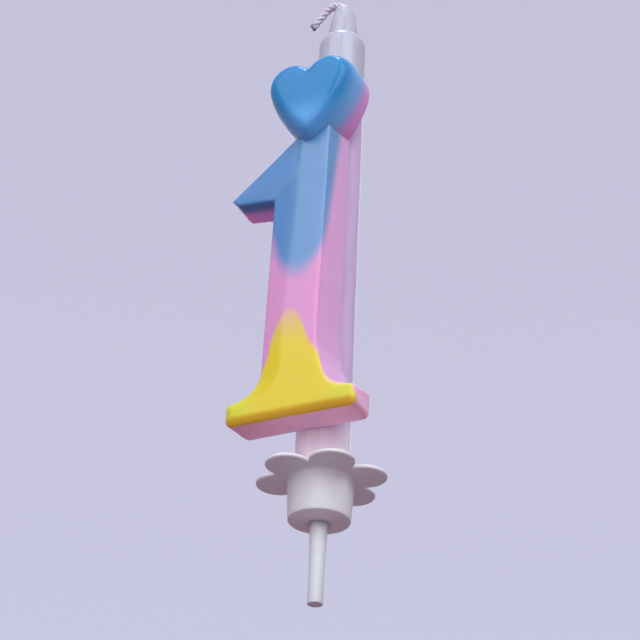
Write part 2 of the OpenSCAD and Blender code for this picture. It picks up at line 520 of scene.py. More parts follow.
@dataclass(frozen=True)
class ClearWaxFinish:
    """White, cloudy paraffin, for the taper and for the seam that holds the castings on it."""

    name: str
    colour: Colour
    # painted shade and reflected pink light beside the castings, and painted shade at the top
    castings_bounce_shade: Colour = srgb(212, 190, 226)
    top: Colour = srgb(186, 190, 205)
    glow: float = 0.6
    reach: Colour = (3.0, 2.6, 3.2)
    roughness: float = 0.3
    mottle: Point = (6.0, 0.05)
    # fine streaks up the wax: their grain, detail and stretch, where they show and how dark they are
    streak: tuple[float, float, Colour] = (1.6, 3.0, (1.0, 1.0, 0.12))
    streak_soft: Point = (0.35, 0.75)
    streak_dark: float = 0.1
    # whiter at the foot; painted shade and reflected pink light beside the castings; painted shade,
    # greyer, where it stands clear of them
    near_y: Point = (0.5, 3.5)
    bounce_shade_z: Point = (13, 19)
    clear_z: Point = (76, 88)

    def material(self) -> bpy.types.Material:
        """Returns the white wax."""
        sheet = Wax(glow=self.glow, reach=self.reach, roughness=self.roughness).sheet(self.name)
        streaks = sheet.cloud(*self.streak)
        _, y, z = sheet.axes()
        near = sheet.rest(sheet.span(y, self.near_y))
        bounce_shade_share = sheet.math("MULTIPLY", sheet.span(z, self.bounce_shade_z), near)
        # painted shade and reflected pink light beside the castings
        colour = sheet.blend(bounce_shade_share, self.colour, self.castings_bounce_shade)
        # painted shade: greyer towards the top
        colour = sheet.blend(sheet.span(z, self.clear_z), colour, self.top)
        dull = sheet.blend(self.streak_dark, colour, (0.0, 0.0, 0.0))
        colour = sheet.blend(sheet.ease(streaks, *self.streak_soft), colour, dull)
        return sheet.paint(colour, self.mottle)


@dataclass(frozen=True)
class PlasticFinish:
    """White moulded polystyrene with a satin face."""

    name: str
    colour: Colour = srgb(230, 237, 241)
    roughness: float = 0.42
    index: float = 1.55
    glow: float = 0.12
    reach: Colour = (1.0, 0.9, 1.0)
    mottle: Point = (0.8, 0.04)
    wear_grain: float = 1.2
    wear: float = 0.12
    relief: tuple[Dent, ...] = (Dent(1.5, 2.0, 0.02), Dent(0.16, 2.0, 0.004))
    # faintly warmer patches: their grain and detail, where they show and how warm they are
    patch: Point = (2.2, 3.0)
    patch_soft: Point = (0.4, 0.8)
    warmth: Colour = (0.97, 0.93, 0.95)

    def material(self) -> bpy.types.Material:
        """Returns the plastic."""
        sheet = ShaderSheet(self.name)
        inputs = sheet.shader.inputs
        inputs["Subsurface Weight"].default_value = self.glow
        inputs["Subsurface Radius"].default_value = self.reach
        inputs["Subsurface Scale"].default_value = MM
        inputs["IOR"].default_value = self.index
        sheet.roughen(self.roughness, self.wear_grain, self.wear)
        sheet.dent(*self.relief)
        warm = tuple(channel * factor for channel, factor in zip(self.colour, self.warmth))
        patches = sheet.ease(sheet.cloud(*self.patch), *self.patch_soft)
        return sheet.paint(sheet.blend(patches, self.colour, warm), self.mottle)


@dataclass(frozen=True)
class CottonFinish:
    """Waxed cotton yarn, with painted shade darkening its cut end."""

    colour: Colour = srgb(214, 212, 228)
    # painted shade at the cut end
    end_shade_colour: Colour = srgb(150, 156, 180)
    end_x: float = -6.4
    end_z: float = 103.4
    end_reach: Point = (0.2, 1.0)
    sheen: float = 0.25
    mottle: Point = (0.25, 0.2)
    roughness: float = 0.7
    wear_grain: float = 0.4
    wear: float = 0.2
    fibres: Dent = Dent(0.12, 3.0, 0.03, (1.0, 1.0, 0.3))

    def material(self) -> bpy.types.Material:
        """Returns the wick's material."""
        sheet = ShaderSheet("wick_cotton")
        x, _, z = sheet.axes()
        across = sheet.math("SUBTRACT", x, self.end_x * MM)
        down = sheet.math("SUBTRACT", z, self.end_z * MM)
        away = sheet.math("SQRT", sheet.math("ADD", sheet.math("MULTIPLY", across, across),
                                             sheet.math("MULTIPLY", down, down)))
        sheet.shader.inputs["Sheen Weight"].default_value = self.sheen
        sheet.roughen(self.roughness, self.wear_grain, self.wear)
        sheet.dent(self.fibres)
        body = sheet.span(away, self.end_reach)
        # painted shade: darker towards the cut end
        return sheet.paint(sheet.blend(body, self.end_shade_colour, self.colour), self.mottle)


# ---------------------------------------------------------------------------------------------
# Mesh shop
# ---------------------------------------------------------------------------------------------


def arc(centre: Point, radius: float, start: float, end: float, steps: int) -> list[Point]:
    """Returns points along an arc.

    Args:
        centre: The arc's centre.
        radius: Its radius.
        start: Its first angle in degrees.
        end: Its last angle in degrees.
        steps: How many spans it has.

    Returns:
        The arc's points, both ends among them.
    """
    angles = [math.radians(start + (end - start) * i / steps) for i in range(steps + 1)]
    return [(centre[0] + radius * math.cos(a), centre[1] + radius * math.sin(a)) for a in angles]


def chain(bm: bmesh.types.BMesh, points: Sequence[Vector], closed: bool = False) -> Edges:
    """Adds a line of edges through points.

    Args:
        bm: The mesh in hand.
        points: Where the line goes.
        closed: Whether it comes back to its start.

    Returns:
        The new edges.
    """
    verts = [bm.verts.new(point) for point in points]
    pairs = list(zip(verts, verts[1:] + verts[:1] if closed else verts[1:]))
    return [bm.edges.new(pair) for pair in pairs]


def revolve(bm: bmesh.types.BMesh, profile: Sequence[Point], segments: int) -> None:
    """Turns a profile of (radius, height) in millimetres about the taper's axis.

    Args:
        bm: The mesh in hand.
        profile: The outline from one pole to the other.
        segments: How many steps a full turn has.
    """
    edges = chain(bm, [Vector((radius * MM, 0, height * MM)) for radius, height in profile])
    geometry = edges + list({vert for edge in edges for vert in edge.verts})
    bmesh.ops.spin(bm, geom=geometry, axis=(0, 0, 1), cent=(0, 0, 0), steps=segments,
                   angle=math.tau, use_merge=True)
    bmesh.ops.remove_doubles(bm, verts=bm.verts[:], dist=WELD)
    bmesh.ops.dissolve_degenerate(bm, dist=WELD, edges=bm.edges[:])
    bmesh.ops.recalc_face_normals(bm, faces=bm.faces[:])


def loft(bm: bmesh.types.BMesh, rings: Sequence[tuple[Radius, float]], segments: int) -> None:
    """Skins a stack of rings about the axis and closes both ends.

    Args:
        bm: The mesh in hand.
        rings: Pairs of a radius for each angle and a height, both in millimetres.
        segments: How many points a ring has.
    """
    verts = bmesh.ops.create_circle(bm, segments=segments, radius=1.0)["verts"]
    edges = bm.edges[:]
    bmesh.ops.contextual_create(bm, geom=edges)
    for index, (radius, height) in enumerate(rings):
        if index:
            grown = bmesh.ops.extrude_edge_only(bm, edges=edges)["geom"]
            verts = [item for item in grown if isinstance(item, bmesh.types.BMVert)]
            fresh = set(verts)
            edges = [item for item in grown if isinstance(item, bmesh.types.BMEdge)
                     and fresh.issuperset(item.verts)]
        for vert in verts:
            angle = math.atan2(vert.co.y, vert.co.x)
            reach = radius(angle) * MM
            vert.co = Vector((math.cos(angle) * reach, math.sin(angle) * reach, height * MM))
    bmesh.ops.contextual_create(bm, geom=edges)
    bmesh.ops.recalc_face_normals(bm, faces=bm.faces[:])


def skin(bm: bmesh.types.BMesh, loops: Sequence[Edges]) -> None:
    """Bridges a stack of closed lines and closes both ends.

    Args:
        bm: The mesh in hand.
        loops: The lines, in order.
    """
    for behind, ahead in zip(loops, loops[1:]):
        bmesh.ops.bridge_loops(bm, edges=behind + ahead)
    for end in (loops[0], loops[-1]):
        bmesh.ops.contextual_create(bm, geom=end)


def soften(bm: bmesh.types.BMesh, passes: int) -> None:
    """Rounds every edge of a fine, even mesh a little."""
    for _ in range(passes):
        bmesh.ops.smooth_vert(bm, verts=bm.verts[:], factor=0.5, use_axis_x=True, use_axis_y=True,
                              use_axis_z=True)


def ripple(bm: bmesh.types.BMesh, grain: float, height: float, seed: float) -> None:
    """Moves a surface in and out along its normals in soft waves.

    Args:
        bm: The mesh in hand.
        grain: The length of the waves in millimetres.
        height: Their height in millimetres.
        seed: Where in the noise they're read.
    """
    bm.normal_update()
    offset = Vector((seed, seed * 0.7, seed * 1.3))
    moves = [vert.normal * (noise.noise(vert.co / (grain * MM) + offset) * height * MM)
             for vert in bm.verts]
    for vert, move in zip(bm.verts, moves):
        vert.co += move


def add(name: str, data: bpy.types.ID) -> bpy.types.Object:
    """Returns a new object of the scene that shows a mesh, a curve, a light or a camera."""
    thing = bpy.data.objects.new(name, data)
    bpy.context.scene.collection.objects.link(thing)
    return thing


def taken(blank: bpy.types.Object) -> bmesh.types.BMesh:
    """Takes the final shape of a helper object, which is removed.

    Args:
        blank: The helper object.

    Returns:
        Its shape as a new mesh.
    """
    bpy.context.view_layer.update()
    graph = bpy.context.evaluated_depsgraph_get()
    shape = bpy.data.meshes.new_from_object(blank.evaluated_get(graph))
    bm = bmesh.new()
    bm.from_mesh(shape)
    bpy.data.objects.remove(blank)
    bpy.data.meshes.remove(shape)
    return bm


def remeshed(bm: bmesh.types.BMesh, voxel: float) -> bmesh.types.BMesh:
    """Gives a closed mesh a fine and even skin.

    Args:
        bm: The closed mesh, which is freed.
        voxel: The size of the new faces in millimetres.

    Returns:
        The new mesh.
    """
    mesh = bpy.data.meshes.new("blank")
    bm.to_mesh(mesh)
    bm.free()
    blank = add("blank", mesh)
    modifier = blank.modifiers.new("Skin", "REMESH")
    modifier.mode = "VOXEL"
    modifier.voxel_size = voxel * MM
    fine = taken(blank)
    bpy.data.meshes.remove(mesh)
    return fine


def bearing(azimuth: float, elevation: float) -> Vector:
    """Returns the direction at a turn from the numeral's front and a height, in degrees."""
    turn, rise = math.radians(azimuth), math.radians(elevation)
    return Vector((math.sin(turn) * math.cos(rise), -math.cos(turn) * math.cos(rise), math.sin(rise)))


def publish(name: str, bm: bmesh.types.BMesh, material: bpy.types.Material, body: Body,
            node: str, crease: float = 40.0) -> bpy.types.Object:
    """Makes a finished piece of a mesh, hangs it on its body and hides the frame's node.

    Args:
        name: The piece's name.
        bm: Its mesh, which is freed.
        material: Its finish.
        body: The body it rides on.
        node: The frame's node that it stands for.
        crease: The angle in degrees above which an edge stays sharp.

    Returns:
        The new object.
    """
    mesh = bpy.data.meshes.new(name)
    bm.to_mesh(mesh)
    bm.free()
    mesh.shade_smooth()
    mesh.set_sharp_from_angle(angle=math.radians(crease))
    mesh.materials.append(material)
    piece = add(name, mesh)
    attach(piece, body.value)
    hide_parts(node)
    log.info("%s: %d faces on %s", name, len(mesh.polygons), body.value)
    return piece


def box_mm(node: str) -> tuple[Vector, Vector]:
    """Returns the lowest and highest corners of a node in millimetres."""
    low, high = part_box(node)
    return low / MM, high / MM


# ---------------------------------------------------------------------------------------------
# Holder and pick
# ---------------------------------------------------------------------------------------------


@dataclass
class Pick:
    """The plastic spike that goes into the cake."""

    tip_r: float = 1.15
    root_r: float = 1.38
    straight: float = 5.4
    edge: float = 0.12
    segments: int = 72

    def build(self) -> bpy.types.Object:
        """Turns the pick, from its flat cut end to the top of its peg."""
        low, high = box_mm("pick")
        profile: list[Point] = [(0.0, low.z)]
        profile += arc((self.tip_r - self.edge, low.z + self.edge), self.edge, -90, 0, 4)
        profile += [(self.tip_r, low.z + self.straight), (self.root_r, 0.0)]
        profile += arc((self.root_r - self.edge, high.z - self.edge), self.edge, 0, 90, 4)
        profile.append((0.0, high.z))
        bm = bmesh.new()
        revolve(bm, profile, self.segments)
        finish = PlasticFinish("pick_plastic", srgb(216, 226, 229))
        return publish("pick_spike", bm, finish.material(), Body.PICK, "pick")


@dataclass
class FlowerHolder:
    """One moulding: a cup with a socket for the taper, and a ring of six petals."""

    foot_r: float = 3.1
    edge_r: float = 4.72
    edge_z: float = 0.75
    cup_r: float = 5.1
    petal_z: float = 7.2
    petal_r: float = 3.44
    ring_r: float = 6.76
    core_r: float = 6.3
    petals: int = 6
    turn: float = 8.5
    socket_r: float = 4.3
    floor_z: float = 3.0
    recess_r: float = 2.05
    recess_z: float = 0.35
    peg_r: float = 1.43
    peg_z: float = 2.4
    fillet: float = 0.45
    segments: int = 360

    def petal_edge(self, angle: float, inset: float) -> float:
        """Finds the flower's edge at an angle.

        Args:
            angle: The angle from +X in radians.
            inset: How far inside the edge the line runs.

        Returns:
            Its radius there.
        """
        pitch = math.tau / self.petals
        off = (angle - math.radians(self.turn) + pitch / 2) % pitch - pitch / 2
        rest = (self.petal_r - inset) ** 2 - (self.ring_r * math.sin(off)) ** 2
        reach = self.ring_r * math.cos(off) + math.sqrt(rest) if rest > 0 else 0.0
        return max(reach, self.core_r - inset)

    def rings(self, top: float) -> list[tuple[Radius, float]]:
        """Lists the moulding's rings, from the peg's hole round the outside to the socket's floor.

        Args:
            top: The height of the petals' upper face.

        Returns:
            Pairs of a radius for each angle and a height.
        """

        def round_at(radius: float) -> Radius:
            """Returns a plain circle."""
            return lambda angle: radius

        def flower_at(inset: float) -> Radius:
            """Returns the petals' outline, drawn in by an inset."""
            return lambda angle: self.petal_edge(angle, inset)

        profile = [(self.peg_r, self.peg_z), (self.peg_r, self.recess_z),
                   (self.recess_r - 0.2, self.recess_z * 0.8), (self.recess_r, 0.08),
                   (self.recess_r + 0.15, 0.0), (self.foot_r - 0.2, 0.0),
                   (self.foot_r, 0.03), (self.edge_r - 0.2, self.edge_z - 0.1),
                   (self.edge_r - 0.06, self.edge_z - 0.02), (self.edge_r, self.edge_z + 0.1)]
        profile += arc((self.cup_r + self.fillet, self.petal_z - self.fillet), self.fillet, 180, 90, 5)
        rings = [(round_at(radius), height) for radius, height in profile]
        edge = (top - self.petal_z) / 2
        for x, z in arc((0.0, 0.0), 1.0, -90, 90, 8):
            rings.append((flower_at(edge * 0.8 * (1 - x)), self.petal_z + edge * (1 + z)))
        inside = [(self.socket_r + 0.3, top), (self.socket_r + 0.08, top - 0.08),
                  (self.socket_r, top - 0.3), (self.socket_r, self.floor_z + 0.2),
                  (self.socket_r - 0.2, self.floor_z)]
        rings += [(round_at(radius), height) for radius, height in inside]
        return rings

    def build(self) -> bpy.types.Object:
        """Skins the moulding as one closed shell."""
        _, high = box_mm("flower_holder")
        bm = bmesh.new()
        loft(bm, self.rings(high.z), self.segments)
        return publish("flower_cup", bm, PlasticFinish("holder_plastic").material(), Body.HOLDER,
                       "flower_holder")


# ---------------------------------------------------------------------------------------------
# Taper and wick
# ---------------------------------------------------------------------------------------------


@dataclass
class Taper:
    """The white paraffin candle behind the numeral."""

    side_z: float = 95.4
    shoulder_r: float = 3.0
    shoulder_h: float = 2.2
    rise: float = 0.5
    neck_r: float = 2.8
    neck_top_r: float = 1.75
    neck_round: float = 0.9
    chamfer: float = 0.4
    lip: float = 0.08
    step: float = 1.2
    segments: int = 96
    # grain, height and seed of the waves in the skin
    waves: tuple[float, float, float] = (9.0, 0.03, 3.0)

    def profile(self) -> list[Point]:
        """Draws the taper's side from its foot to the top of its bullet-shaped neck."""
        low, high = box_mm("taper")
        radius = high.x
        points: list[Point] = [(0.0, low.z)]
        points += arc((radius - self.chamfer, low.z + self.chamfer), self.chamfer, -90, 0, 4)
        start = low.z + self.chamfer
        count = round((self.side_z - start) / self.step)
        points += [(radius, start + (self.side_z - start) * i / count) for i in range(1, count + 1)]
        lean = arc((0.0, 0.0), 1.0, 0, 66, 8)[1:]
        far_x, far_z = lean[-1]
        drop = radius - self.shoulder_r
        points += [(radius - drop * (1 - x) / (1 - far_x), self.side_z + self.shoulder_h * z / far_z)
                   for x, z in lean]
        neck_z, round_z = self.side_z + self.shoulder_h, high.z + self.rise - self.neck_round
        points.append((self.neck_r, neck_z + self.lip))
        for share in (i / 10 for i in range(1, 11)):
            points.append((self.neck_r - (self.neck_r - self.neck_top_r) * share ** 1.7,
                           neck_z + self.lip + (round_z - neck_z) * share))
        top = arc((self.neck_top_r - self.neck_round, round_z + self.lip), self.neck_round, 20, 90, 6)
        return points + top + [(0.0, high.z + self.rise + self.lip)]

    def build(self) -> bpy.types.Object:
        """Turns the taper and lets its skin wander a little, as dipped wax does."""
        bm = bmesh.new()
        revolve(bm, self.profile(), self.segments)
        ripple(bm, *self.waves)
        finish = ClearWaxFinish("taper_wax", srgb(252, 240, 250))
        return publish("taper_candle", bm, finish.material(), Body.CANDLE, "taper", 50)


@dataclass
class Wick:
    """Three twisted cotton yarns that run up the taper and bend over at the top."""

    yarns: int = 3
    yarn_r: float = 0.4
    twist_r: float = 0.35
    lay: float = 3.4
    bend_r: float = 2.1
    bend_angle: float = 140.0
    end_len: float = 4.2
    step: float = 0.3

    def route(self, low: float, top: float) -> list[tuple[Vector, Vector]]:
        """Walks the wick's middle from its foot to its cut end.

        Args:
            low: The height of its foot.
            top: The height where the bend starts.

        Returns:
            Pairs of a place and the direction towards the outside of the bend.
        """
        straight = round((top - low) / self.step)
        stops = [(Vector((0, 0, low + (top - low) * i / straight)), Vector((1, 0, 0)))
                 for i in range(straight)]
        centre = Vector((-self.bend_r, 0, top))
        turns = round(math.radians(self.bend_angle) * self.bend_r / self.step)
        for i in range(turns + 1):
            angle = math.radians(self.bend_angle) * i / turns
            out = Vector((math.cos(angle), 0, math.sin(angle)))
            stops.append((centre + out * self.bend_r, out))
        last, out = stops[-1]
        along = Vector((-out.z, 0, out.x))
        ends = round(self.end_len / self.step)
        stops += [(last + along * (self.end_len * i / ends), out) for i in range(1, ends + 1)]
        return stops

    def build(self) -> bpy.types.Object:
        """Twists the yarns about the route and turns them into a mesh."""
        low, _ = box_mm("wick")
        _, taper_high = box_mm("taper")
        stops = self.route(low.z, taper_high.z)
        curve = bpy.data.curves.new("yarns", "CURVE")
        curve.dimensions = "3D"
        curve.bevel_depth = self.yarn_r * MM
        curve.bevel_resolution = 2
        curve.use_fill_caps = True
        for yarn in range(self.yarns):
            spline = curve.splines.new("POLY")
            spline.points.add(len(stops) - 1)
            for i, (place, out) in enumerate(stops):
                phase = math.tau * (yarn / self.yarns + i * self.step / self.lay)
                offset = out * math.cos(phase) + Vector((0, 1, 0)) * math.sin(phase)
                spline.points[i].co = (*((place + offset * self.twist_r) * MM), 1.0)
        bm = taken(add("yarns", curve))
        bmesh.ops.remove_doubles(bm, verts=bm.verts[:], dist=WELD)
        bmesh.ops.recalc_face_normals(bm, faces=bm.faces[:])
        return publish("wick_yarns", bm, CottonFinish().material(), Body.CANDLE, "wick",
                       60)


# ---------------------------------------------------------------------------------------------
# Castings
# ---------------------------------------------------------------------------------------------


@dataclass(frozen=True)
class Corner:
    """One corner of the numeral on its flat front, on the front's outer edge and on its back."""

    front: Point
    edge: Point
    back: Point | None = None
    fall: float = 0.6

    def levels(self, front_y: float, back_y: float) -> tuple[Vector, Vector, Vector]:
        """Places the corner on each level of the casting.

        Args:
            front_y: Where the flat front lies.
            back_y: Where the back lies.

        Returns:
            The corner on the back, which is under the edge unless it is given, on the outer edge
            and on the flat front, in metres.
        """
        back = self.back or self.edge
        places = ((back, back_y), (self.edge, front_y + self.fall), (self.front, front_y))
        return tuple(Vector((x, y, z)) * MM for (x, z), y in places)


@dataclass
class Numeral:
    """The cast one: a flat-backed slab whose front slopes up to a raised middle."""

    middle_x: float = -1.0
    stem_w: float = 10.6
    foot_h: float = 4.0
    flare_r: float = 4.9
    inner_flare: float = 6.4
    flag_z: float = 57.5
    flag_slope: float = 41.0
    flag_cut: float = 1.2
    flag_drop: float = 1.1
    flag_fall: float = 0.85
    peak_x: float = -2.0
    bevel: float = 1.0
    end_round: float = 1.0
    front_round: float = 0.35
    # how far the foot's back corners stand in from the left and the right, and up
    foot_draft: tuple[float, float, float] = (0.3, 0.4, 0.5)
    # the right wall's ridge and its line on the back where they meet the top
    top_x: Point = (3.4, 4.3)
    # the right side is one drafted wall: its ridge in front and its line on the back, from the foot up
    right: tuple[tuple[Point, Point], ...] = (
        ((9.5, 16.8), (9.4, 18.5)), ((7.0, 17.35), (8.1, 18.9)), ((5.8, 17.9), (7.0, 19.5)),
        ((5.0, 19.0), (6.0, 20.6)), ((3.9, 21.7), (5.1, 22.4)), ((3.05, 25.0), (4.5, 25.0)),
        ((2.8, 29.0), (4.3, 29.0)), ((3.1, 46.0), (4.3, 46.0)), ((3.35, 67.0), (4.3, 67.0)))
    # the ridge on the left of the raised middle, from the top down
    left: tuple[Point, ...] = ((-1.9, 52.0), (-2.4, 44.0), (-2.8, 38.0), (-2.95, 31.0), (-3.0, 25.5))
    # how far above the flag's end the corners of its upper and lower edge meet the raised middle
    flag_ridge: Point = (2.6, 1.8)
    voxel: float = 0.25
    passes: int = 3
    waves: tuple[float, float, float] = (7.0, 0.05, 11.0)

    def end_corner(self, front: Point, edge: Point, back: Point, turn: float) -> list[Corner]:
        """Rounds one lower corner of the foot.

        Args:
            front: The corner on the raised middle.
            edge: The corner on the outer edge, before it is rounded.
            back: The same corner on the back.
            turn: The angle in degrees at which the rounding starts.

        Returns:
            The corners along the rounding.
        """
        out = 1 if edge[0] > self.middle_x else -1
        radii = (self.front_round, self.end_round, self.end_round)
        bends = (arc((x - out * radius, z + radius), radius, turn, turn + 90, 4)
                 for (x, z), radius in zip((front, edge, back), radii))
        return [Corner(*places) for places in zip(*bends)]

    def corners(self) -> list[Corner]:
        """Lists the numeral's corners once round, from the foot's lower left."""
        low, high = box_mm("numeral")
        foot_r, stem_l = high.x, self.middle_x - self.stem_w / 2
        foot_l = 2 * self.middle_x - foot_r
        foot_z = low.z + self.foot_h
        end_x, end_z = low.x + self.flag_cut, self.flag_z - self.flag_cut
        peak_z = self.flag_z + (self.peak_x - low.x) * math.tan(math.radians(self.flag_slope))
        in_l, in_r, lift = self.foot_draft
        found = self.end_corner((foot_l + self.bevel, low.z + self.bevel), (foot_l, low.z),
                                (foot_l + in_l, low.z + lift), 180)
        found += self.end_corner((foot_r - self.bevel * 0.6, low.z + self.bevel), (foot_r, low.z),
                                 (foot_r - in_r, low.z + lift), 270)
        deep = Corner.fall / (high.y - low.y)
        for front, back in self.right + (tuple((x, high.z) for x in self.top_x),):
            edge = (front[0] + (back[0] - front[0]) * deep, front[1] + (back[1] - front[1]) * deep)
            found.append(Corner(front, edge, back))
        ridge = self.left[0][0]
        found += [
            Corner((ridge + 1, high.z), (self.peak_x + 2, high.z)),
            Corner((ridge, peak_z), (self.peak_x, peak_z)),
            Corner((ridge, self.flag_z + self.flag_ridge[0]), (low.x, self.flag_z), fall=self.flag_fall),
            Corner((ridge, self.flag_z + self.flag_ridge[1]), (end_x, end_z), fall=self.flag_fall),
            Corner((ridge, end_z - self.flag_drop - 1), (stem_l, end_z - self.flag_drop)),
        ]
        found += [Corner(place, (stem_l, place[1])) for place in self.left[1:]]
        inner_x, inner_z = self.left[-1][0], foot_z - self.bevel
        flares = ((inner_x, inner_z, self.inner_flare), (stem_l, foot_z, self.flare_r))
        found += [Corner(*places) for places in zip(
            *(arc((x - radius, z + radius), radius, 0, -90, 10) for x, z, radius in flares))]
        found.append(Corner((foot_l + self.bevel, inner_z - 0.3), (foot_l, foot_z - 0.3)))
        return found

    def build(self) -> bpy.types.Object:
        """Casts the numeral: a slab, its raised front, then an even and softened skin."""
        low, high = box_mm("numeral")
        levels = [corner.levels(low.y, high.y) for corner in self.corners()]
        bm = bmesh.new()
        rim = chain(bm, [back for back, _, _ in levels], closed=True)
        bmesh.ops.contextual_create(bm, geom=rim)
        moved = bmesh.ops.extrude_face_region(bm, geom=bm.faces[:])["geom"]
        ahead = [item for item in moved if isinstance(item, bmesh.types.BMVert)]
        face = next(item for item in moved if isinstance(item, bmesh.types.BMFace))
        for vert in ahead:
            vert.co = min(levels, key=lambda level: (level[0] - vert.co).length)[1]
        bmesh.ops.inset_individual(bm, faces=[face], thickness=0.01 * MM, use_even_offset=True)
        for vert in face.verts:
            vert.co = min(levels, key=lambda level: (level[1] - vert.co).length)[2]
        bmesh.ops.triangulate(bm, faces=bm.faces[:])
        bmesh.ops.recalc_face_normals(bm, faces=bm.faces[:])
        bm = remeshed(bm, self.voxel)
        soften(bm, self.passes)
        ripple(bm, *self.waves)
        return publish("numeral_one", bm, NumeralFinish().material(), Body.CANDLE, "numeral",
                       180)


@dataclass
class Heart:
    """The puffy heart that laps over the numeral's top."""

    lobe_r: float = 4.8
    lobe_x: float = 3.4
    lobe_z: float = 78.1
    point_r: float = 2.0
    side_r: float = 24.0
    round_y: float = 5.0
    round_w: float = 2.3
    drop: float = 0.3
    sag: float = 0.8
    voxel: float = 0.24
    passes: int = 22
    waves: tuple[float, float, float] = (8.0, 0.05, 23.0)

    def outline(self, inset: float, low_z: float) -> list[Point]:
        """Draws the heart, round from its cleft.

        Every arc keeps its centre: the lobe's, the long side's, which touches the lobe and the point
        from inside, and the point's, which is gone where the inset is larger than its radius.

        Args:
            inset: How far inside the heart's edge the line runs.
            low_z: The height of its point.

        Returns:
            The line's places in x and z.
        """
        lobe, point = Vector((self.lobe_x, self.lobe_z)), Vector((0.0, low_z + self.point_r))
        gap = (point - lobe).length
        way = (point - lobe) / gap
        to_lobe, to_point = self.side_r - self.lobe_r, self.side_r - self.point_r
        along = (to_lobe ** 2 - to_point ** 2 + gap ** 2) / (2 * gap)
        off = math.sqrt(to_lobe ** 2 - along ** 2)
        side = lobe + way * along + Vector((way.y, -way.x)) * off
        top = math.degrees(math.atan2(lobe.y - side.y, lobe.x - side.x))
        foot = math.degrees(math.atan2(point.y - side.y, point.x - side.x))
        radius, reach = self.lobe_r - inset, self.side_r - inset
        cleft = math.degrees(math.acos(-min(lobe.x / radius, 1.0)))
        right = arc((lobe.x, lobe.y), radius, cleft, top, 24)
        if inset < self.point_r:
            right += arc((side.x, side.y), reach, top, foot, 16)[1:]
            right += arc((0.0, point.y), self.point_r - inset, foot, -90, 8)[1:]
        else:
            foot = -math.degrees(math.acos(-side.x / reach))
            right += arc((side.x, side.y), reach, top, foot, 24)[1:]
        left = [(-x, z) for x, z in reversed(right[1:-1])]
        return [(x, z - self.settle(x, (self.lobe_z - z) / (self.lobe_z - low_z)))
                for x, z in right + left]

    def settle(self, x: float, share: float) -> float:
        """Finds how far the wax ran down: most at the point and along the right side.

        Args:
            x: How far to the right the place is.
            share: How far down it is, from 0 at the lobes to 1 at the point.

        Returns:
            The way down.
        """
        share = min(max(share, 0.0), 1.0)
        side = min(max(x / 3.0, 0.0), 1.0)
        return self.drop * share ** 2 + self.sag * math.sin(math.pi * share) * side

    def build(self) -> bpy.types.Object:
        """Casts the heart as a stack of outlines that draw in towards its front."""
        low, high = box_mm("heart")
        middle = (low.x + high.x) / 2
        shoulder = low.y + self.round_y
        layers = [(0.5, high.y), (0.12, high.y - 0.2), (0.0, high.y - 0.6), (0.0, shoulder)]
        layers += [(self.round_w * (1 - c), shoulder - self.round_y * s)
                   for c, s in arc((0.0, 0.0), 1.0, 0, 90, 12)[1:]]
        bm = bmesh.new()
        lines = [[Vector((x + middle, y, z)) * MM for x, z in self.outline(inset, low.z)]
                 for inset, y in layers]
        skin(bm, [chain(bm, line, closed=True) for line in lines])
        bmesh.ops.triangulate(bm, faces=bm.faces[:])
        bmesh.ops.recalc_face_normals(bm, faces=bm.faces[:])
        bm = remeshed(bm, self.voxel)
        soften(bm, self.passes)
        ripple(bm, *self.waves)
        return publish("heart_topper", bm, HeartFinish().material(), Body.CANDLE, "heart",
                       180)


@dataclass
class WaxSeam:
    """Beads of melted wax in the corners between the taper and the castings' backs."""

    width: float = 1.9
    step: float = 0.8
    spans: int = 6
    sunk: float = 0.3
    lumps: float = 0.08
    clear_z: float = 1.4
    # the hollow's middle and its end on the taper's side, as shares of the width
    hold: Point = (0.62, 0.24)
    crest: Point = (0.7, 0.66)

    def section(self, radius: float, back_y: float) -> list[Point]:
        """Draws one bead's section: a hollow fillet, sunk into the taper and the backs.

        Args:
            radius: The taper's radius.
            back_y: Where the castings' backs lie.

        Returns:
            The section's places in x and y.
        """
        corner = math.sqrt(radius * radius - back_y * back_y)
        far = (corner + self.width, back_y - 0.02)
        hold = (corner + self.width * self.hold[0], back_y + self.width * self.hold[1])
        top = (corner + self.width * self.crest[0], back_y + self.width * self.crest[1])
        hollow = [tuple((1 - t) ** 2 * a + 2 * t * (1 - t) * b + t * t * c
                        for a, b, c in zip(far, hold, top))
                  for t in (i / self.spans for i in range(self.spans + 1))]
        under = back_y - self.sunk
        return [(corner - 0.4, under), (far[0], under), *hollow, (corner + 0.5, top[1])]

    def build(self) -> bpy.types.Object:
        """Draws both beads up the taper, lumpy as melted wax sets."""
        low, high = box_mm("wax_seam")
        _, taper_high = box_mm("taper")
        section = self.section(taper_high.x, low.y)
        start = low.z + self.clear_z
        stops = round((high.z - start) / self.step)
        bm = bmesh.new()
        for side in (-1, 1):
            loops = []
            for i in range(stops + 1):
                share = i / stops
                z = start + (high.z - start) * share
                close = min(1.0, 8 * share, 8 * (1 - share)) ** 0.5
                lump = 1 + self.lumps * noise.noise(Vector((side * 3.1, 0.0, z * 0.28)))
                size = max(close, 0.15) * lump
                anchor = section[0]
                ring = [Vector((side * (anchor[0] + (x - anchor[0]) * size),
                                anchor[1] + (y - anchor[1]) * size, z)) * MM for x, y in section]
                loops.append(chain(bm, ring, closed=True))
            skin(bm, loops)
        bmesh.ops.recalc_face_normals(bm, faces=bm.faces[:])
        finish = ClearWaxFinish("seam_wax", srgb(236, 214, 232), glow=0.5)
        return publish("wax_beads", bm, finish.material(), Body.CANDLE, "wax_seam", 70)


# ---------------------------------------------------------------------------------------------
# Studio
# ---------------------------------------------------------------------------------------------


